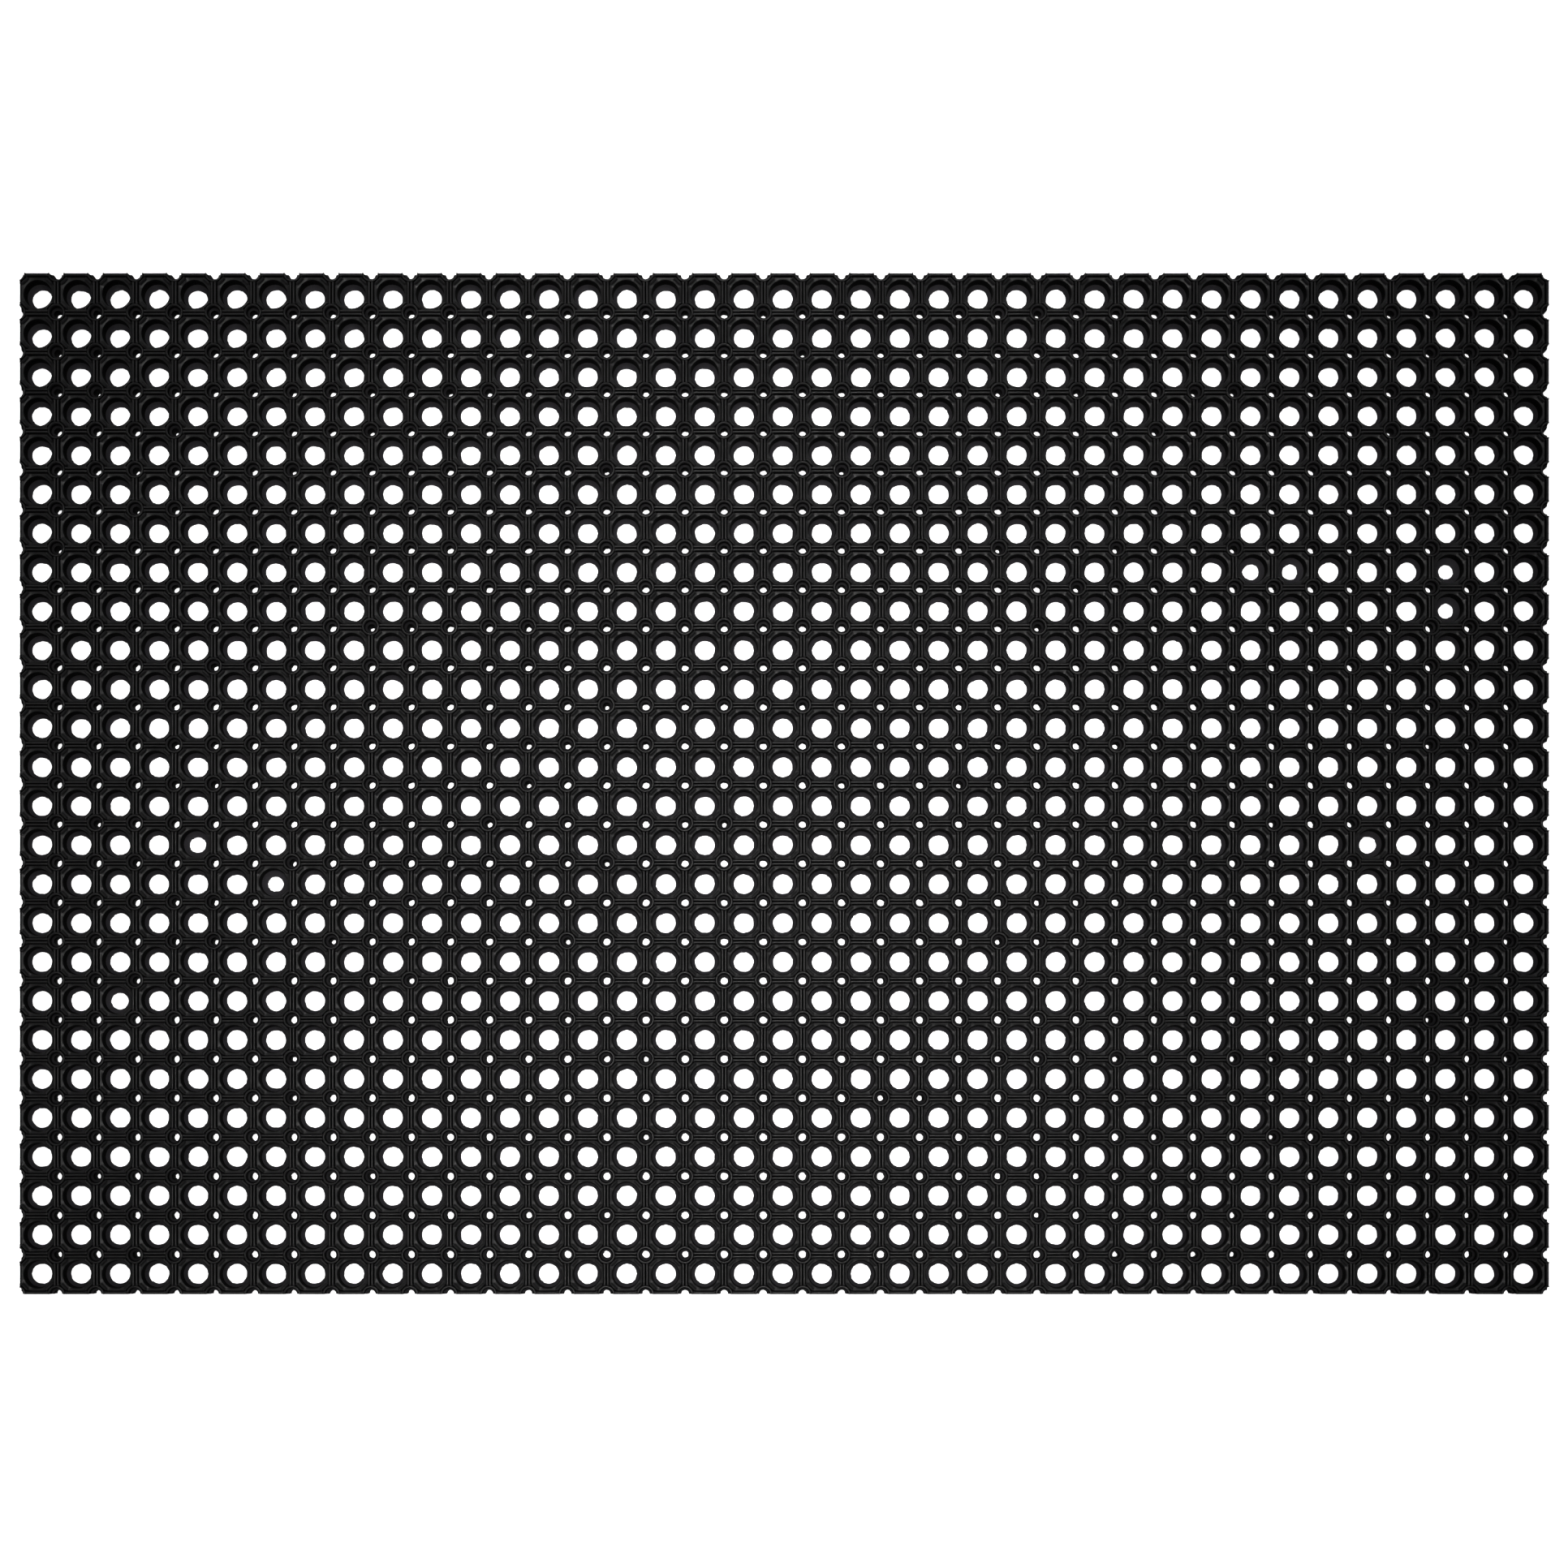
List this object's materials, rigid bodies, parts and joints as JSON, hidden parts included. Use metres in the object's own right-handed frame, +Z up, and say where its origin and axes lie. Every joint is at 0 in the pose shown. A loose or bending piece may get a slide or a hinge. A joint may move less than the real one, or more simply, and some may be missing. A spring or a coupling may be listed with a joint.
{
  "type": "rubber ring door mat",
  "caption": "Black moulded rubber ring mat with large drafted drain rings and small holes on a square grid; its strips curl on living hinges, so the mat rolls up.",
  "frame": {"origin": "centre of the mat's footprint, on the floor", "axes": "+X along the long side, +Y along the short side, +Z up from the floor to the tread"},
  "size_m": [1.501, 1.001, 0.022],
  "materials": {
    "rubber": "matte black moulded natural rubber with a faint satin sheen, fine grain and moulding flash at the hole edges"
  },
  "bodies": {
    "strip_01": {"ring_strip_01": "rubber"},
    "strip_02": {"ring_strip_02": "rubber"},
    "strip_03": {"ring_strip_03": "rubber"},
    "strip_04": {"ring_strip_04": "rubber"},
    "strip_05": {"ring_strip_05": "rubber"},
    "strip_06": {"ring_strip_06": "rubber"},
    "strip_07": {"ring_strip_07": "rubber"},
    "strip_08": {"ring_strip_08": "rubber"},
    "strip_09": {"ring_strip_09": "rubber"},
    "strip_10": {"ring_strip_10": "rubber"},
    "strip_11": {"ring_strip_11": "rubber"},
    "strip_12": {"ring_strip_12": "rubber"},
    "strip_13": {"ring_strip_13": "rubber"},
    "strip_14": {"ring_strip_14": "rubber"},
    "strip_15": {"ring_strip_15": "rubber"},
    "strip_16": {"ring_strip_16": "rubber"},
    "strip_17": {"ring_strip_17": "rubber"},
    "strip_18": {"ring_strip_18": "rubber"},
    "strip_19": {"ring_strip_19": "rubber"},
    "strip_20": {"ring_strip_20": "rubber"},
    "strip_21": {"ring_strip_21": "rubber"},
    "strip_22": {"ring_strip_22": "rubber"},
    "strip_23": {"ring_strip_23": "rubber"},
    "strip_24": {"ring_strip_24": "rubber"},
    "strip_25": {"ring_strip_25": "rubber"},
    "strip_26": {"ring_strip_26": "rubber"},
    "strip_27": {"ring_strip_27": "rubber"},
    "strip_28": {"ring_strip_28": "rubber"},
    "strip_29": {"ring_strip_29": "rubber"},
    "strip_30": {"ring_strip_30": "rubber"},
    "strip_31": {"ring_strip_31": "rubber"},
    "strip_32": {"ring_strip_32": "rubber"},
    "strip_33": {"ring_strip_33": "rubber"},
    "strip_34": {"ring_strip_34": "rubber"},
    "strip_35": {"ring_strip_35": "rubber"},
    "strip_36": {"ring_strip_36": "rubber"},
    "strip_37": {"ring_strip_37": "rubber"},
    "strip_38": {"ring_strip_38": "rubber"},
    "strip_39": {"ring_strip_39": "rubber"}
  },
  "joints": [
    {"name": "hinge_01", "type": "hinge", "parent": "strip_01", "child": "strip_02", "pos_m": [-0.71225, 0, 0.022], "axis": [0, -1, 0], "range_deg": [0, 16], "stiffness_Nm_per_rad": 3.5},
    {"name": "hinge_02", "type": "hinge", "parent": "strip_02", "child": "strip_03", "pos_m": [-0.67375, 0, 0.022], "axis": [0, -1, 0], "range_deg": [0, 16.14], "stiffness_Nm_per_rad": 3.5},
    {"name": "hinge_03", "type": "hinge", "parent": "strip_03", "child": "strip_04", "pos_m": [-0.63525, 0, 0.022], "axis": [0, -1, 0], "range_deg": [0, 16.29], "stiffness_Nm_per_rad": 3.5},
    {"name": "hinge_04", "type": "hinge", "parent": "strip_04", "child": "strip_05", "pos_m": [-0.59675, 0, 0.022], "axis": [0, -1, 0], "range_deg": [0, 16.44], "stiffness_Nm_per_rad": 3.5},
    {"name": "hinge_05", "type": "hinge", "parent": "strip_05", "child": "strip_06", "pos_m": [-0.55825, 0, 0.022], "axis": [0, -1, 0], "range_deg": [0, 16.59], "stiffness_Nm_per_rad": 3.5},
    {"name": "hinge_06", "type": "hinge", "parent": "strip_06", "child": "strip_07", "pos_m": [-0.51975, 0, 0.022], "axis": [0, -1, 0], "range_deg": [0, 16.75], "stiffness_Nm_per_rad": 3.5},
    {"name": "hinge_07", "type": "hinge", "parent": "strip_07", "child": "strip_08", "pos_m": [-0.48125, 0, 0.022], "axis": [0, -1, 0], "range_deg": [0, 16.92], "stiffness_Nm_per_rad": 3.5},
    {"name": "hinge_08", "type": "hinge", "parent": "strip_08", "child": "strip_09", "pos_m": [-0.44275, 0, 0.022], "axis": [0, -1, 0], "range_deg": [0, 17.08], "stiffness_Nm_per_rad": 3.5},
    {"name": "hinge_09", "type": "hinge", "parent": "strip_09", "child": "strip_10", "pos_m": [-0.40425, 0, 0.022], "axis": [0, -1, 0], "range_deg": [0, 17.26], "stiffness_Nm_per_rad": 3.5},
    {"name": "hinge_10", "type": "hinge", "parent": "strip_10", "child": "strip_11", "pos_m": [-0.36575, 0, 0.022], "axis": [0, -1, 0], "range_deg": [0, 17.44], "stiffness_Nm_per_rad": 3.5},
    {"name": "hinge_11", "type": "hinge", "parent": "strip_11", "child": "strip_12", "pos_m": [-0.32725, 0, 0.022], "axis": [0, -1, 0], "range_deg": [0, 17.62], "stiffness_Nm_per_rad": 3.5},
    {"name": "hinge_12", "type": "hinge", "parent": "strip_12", "child": "strip_13", "pos_m": [-0.28875, 0, 0.022], "axis": [0, -1, 0], "range_deg": [0, 17.81], "stiffness_Nm_per_rad": 3.5},
    {"name": "hinge_13", "type": "hinge", "parent": "strip_13", "child": "strip_14", "pos_m": [-0.25025, 0, 0.022], "axis": [0, -1, 0], "range_deg": [0, 18.01], "stiffness_Nm_per_rad": 3.5},
    {"name": "hinge_14", "type": "hinge", "parent": "strip_14", "child": "strip_15", "pos_m": [-0.21175, 0, 0.022], "axis": [0, -1, 0], "range_deg": [0, 18.21], "stiffness_Nm_per_rad": 3.5},
    {"name": "hinge_15", "type": "hinge", "parent": "strip_15", "child": "strip_16", "pos_m": [-0.17325, 0, 0.022], "axis": [0, -1, 0], "range_deg": [0, 18.42], "stiffness_Nm_per_rad": 3.5},
    {"name": "hinge_16", "type": "hinge", "parent": "strip_16", "child": "strip_17", "pos_m": [-0.13475, 0, 0.022], "axis": [0, -1, 0], "range_deg": [0, 18.64], "stiffness_Nm_per_rad": 3.5},
    {"name": "hinge_17", "type": "hinge", "parent": "strip_17", "child": "strip_18", "pos_m": [-0.09625, 0, 0.022], "axis": [0, -1, 0], "range_deg": [0, 18.87], "stiffness_Nm_per_rad": 3.5},
    {"name": "hinge_18", "type": "hinge", "parent": "strip_18", "child": "strip_19", "pos_m": [-0.05775, 0, 0.022], "axis": [0, -1, 0], "range_deg": [0, 19.1], "stiffness_Nm_per_rad": 3.5},
    {"name": "hinge_19", "type": "hinge", "parent": "strip_19", "child": "strip_20", "pos_m": [-0.01925, 0, 0.022], "axis": [0, -1, 0], "range_deg": [0, 19.35], "stiffness_Nm_per_rad": 3.5},
    {"name": "hinge_20", "type": "hinge", "parent": "strip_20", "child": "strip_21", "pos_m": [0.01925, 0, 0.022], "axis": [0, -1, 0], "range_deg": [0, 19.6], "stiffness_Nm_per_rad": 3.5},
    {"name": "hinge_21", "type": "hinge", "parent": "strip_21", "child": "strip_22", "pos_m": [0.05775, 0, 0.022], "axis": [0, -1, 0], "range_deg": [0, 19.86], "stiffness_Nm_per_rad": 3.5},
    {"name": "hinge_22", "type": "hinge", "parent": "strip_22", "child": "strip_23", "pos_m": [0.09625, 0, 0.022], "axis": [0, -1, 0], "range_deg": [0, 20.14], "stiffness_Nm_per_rad": 3.5},
    {"name": "hinge_23", "type": "hinge", "parent": "strip_23", "child": "strip_24", "pos_m": [0.13475, 0, 0.022], "axis": [0, -1, 0], "range_deg": [0, 20.42], "stiffness_Nm_per_rad": 3.5},
    {"name": "hinge_24", "type": "hinge", "parent": "strip_24", "child": "strip_25", "pos_m": [0.17325, 0, 0.022], "axis": [0, -1, 0], "range_deg": [0, 20.72], "stiffness_Nm_per_rad": 3.5},
    {"name": "hinge_25", "type": "hinge", "parent": "strip_25", "child": "strip_26", "pos_m": [0.21175, 0, 0.022], "axis": [0, -1, 0], "range_deg": [0, 21.03], "stiffness_Nm_per_rad": 3.5},
    {"name": "hinge_26", "type": "hinge", "parent": "strip_26", "child": "strip_27", "pos_m": [0.25025, 0, 0.022], "axis": [0, -1, 0], "range_deg": [0, 21.36], "stiffness_Nm_per_rad": 3.5},
    {"name": "hinge_27", "type": "hinge", "parent": "strip_27", "child": "strip_28", "pos_m": [0.28875, 0, 0.022], "axis": [0, -1, 0], "range_deg": [0, 21.7], "stiffness_Nm_per_rad": 3.5},
    {"name": "hinge_28", "type": "hinge", "parent": "strip_28", "child": "strip_29", "pos_m": [0.32725, 0, 0.022], "axis": [0, -1, 0], "range_deg": [0, 22.06], "stiffness_Nm_per_rad": 3.5},
    {"name": "hinge_29", "type": "hinge", "parent": "strip_29", "child": "strip_30", "pos_m": [0.36575, 0, 0.022], "axis": [0, -1, 0], "range_deg": [0, 22.44], "stiffness_Nm_per_rad": 3.5},
    {"name": "hinge_30", "type": "hinge", "parent": "strip_30", "child": "strip_31", "pos_m": [0.40425, 0, 0.022], "axis": [0, -1, 0], "range_deg": [0, 22.84], "stiffness_Nm_per_rad": 3.5},
    {"name": "hinge_31", "type": "hinge", "parent": "strip_31", "child": "strip_32", "pos_m": [0.44275, 0, 0.022], "axis": [0, -1, 0], "range_deg": [0, 23.26], "stiffness_Nm_per_rad": 3.5},
    {"name": "hinge_32", "type": "hinge", "parent": "strip_32", "child": "strip_33", "pos_m": [0.48125, 0, 0.022], "axis": [0, -1, 0], "range_deg": [0, 23.7], "stiffness_Nm_per_rad": 3.5},
    {"name": "hinge_33", "type": "hinge", "parent": "strip_33", "child": "strip_34", "pos_m": [0.51975, 0, 0.022], "axis": [0, -1, 0], "range_deg": [0, 24.17], "stiffness_Nm_per_rad": 3.5},
    {"name": "hinge_34", "type": "hinge", "parent": "strip_34", "child": "strip_35", "pos_m": [0.55825, 0, 0.022], "axis": [0, -1, 0], "range_deg": [0, 24.67], "stiffness_Nm_per_rad": 3.5},
    {"name": "hinge_35", "type": "hinge", "parent": "strip_35", "child": "strip_36", "pos_m": [0.59675, 0, 0.022], "axis": [0, -1, 0], "range_deg": [0, 25.2], "stiffness_Nm_per_rad": 3.5},
    {"name": "hinge_36", "type": "hinge", "parent": "strip_36", "child": "strip_37", "pos_m": [0.63525, 0, 0.022], "axis": [0, -1, 0], "range_deg": [0, 25.77], "stiffness_Nm_per_rad": 3.5},
    {"name": "hinge_37", "type": "hinge", "parent": "strip_37", "child": "strip_38", "pos_m": [0.67375, 0, 0.022], "axis": [0, -1, 0], "range_deg": [0, 26.37], "stiffness_Nm_per_rad": 3.5},
    {"name": "hinge_38", "type": "hinge", "parent": "strip_38", "child": "strip_39", "pos_m": [0.71225, 0, 0.022], "axis": [0, -1, 0], "range_deg": [0, 27.03], "stiffness_Nm_per_rad": 3.5}
  ],
  "couplings": [
    {"joint": "hinge_02", "follows": "hinge_01", "ratio": 1.0089},
    {"joint": "hinge_03", "follows": "hinge_01", "ratio": 1.018},
    {"joint": "hinge_04", "follows": "hinge_01", "ratio": 1.0274},
    {"joint": "hinge_05", "follows": "hinge_01", "ratio": 1.0371},
    {"joint": "hinge_06", "follows": "hinge_01", "ratio": 1.047},
    {"joint": "hinge_07", "follows": "hinge_01", "ratio": 1.0572},
    {"joint": "hinge_08", "follows": "hinge_01", "ratio": 1.0678},
    {"joint": "hinge_09", "follows": "hinge_01", "ratio": 1.0786},
    {"joint": "hinge_10", "follows": "hinge_01", "ratio": 1.0898},
    {"joint": "hinge_11", "follows": "hinge_01", "ratio": 1.1013},
    {"joint": "hinge_12", "follows": "hinge_01", "ratio": 1.1132},
    {"joint": "hinge_13", "follows": "hinge_01", "ratio": 1.1256},
    {"joint": "hinge_14", "follows": "hinge_01", "ratio": 1.1383},
    {"joint": "hinge_15", "follows": "hinge_01", "ratio": 1.1515},
    {"joint": "hinge_16", "follows": "hinge_01", "ratio": 1.1651},
    {"joint": "hinge_17", "follows": "hinge_01", "ratio": 1.1792},
    {"joint": "hinge_18", "follows": "hinge_01", "ratio": 1.1939},
    {"joint": "hinge_19", "follows": "hinge_01", "ratio": 1.2091},
    {"joint": "hinge_20", "follows": "hinge_01", "ratio": 1.2249},
    {"joint": "hinge_21", "follows": "hinge_01", "ratio": 1.2414},
    {"joint": "hinge_22", "follows": "hinge_01", "ratio": 1.2585},
    {"joint": "hinge_23", "follows": "hinge_01", "ratio": 1.2764},
    {"joint": "hinge_24", "follows": "hinge_01", "ratio": 1.2951},
    {"joint": "hinge_25", "follows": "hinge_01", "ratio": 1.3146},
    {"joint": "hinge_26", "follows": "hinge_01", "ratio": 1.335},
    {"joint": "hinge_27", "follows": "hinge_01", "ratio": 1.3563},
    {"joint": "hinge_28", "follows": "hinge_01", "ratio": 1.3788},
    {"joint": "hinge_29", "follows": "hinge_01", "ratio": 1.4024},
    {"joint": "hinge_30", "follows": "hinge_01", "ratio": 1.4272},
    {"joint": "hinge_31", "follows": "hinge_01", "ratio": 1.4535},
    {"joint": "hinge_32", "follows": "hinge_01", "ratio": 1.4812},
    {"joint": "hinge_33", "follows": "hinge_01", "ratio": 1.5106},
    {"joint": "hinge_34", "follows": "hinge_01", "ratio": 1.5418},
    {"joint": "hinge_35", "follows": "hinge_01", "ratio": 1.575},
    {"joint": "hinge_36", "follows": "hinge_01", "ratio": 1.6105},
    {"joint": "hinge_37", "follows": "hinge_01", "ratio": 1.6484},
    {"joint": "hinge_38", "follows": "hinge_01", "ratio": 1.6892}
  ]
}
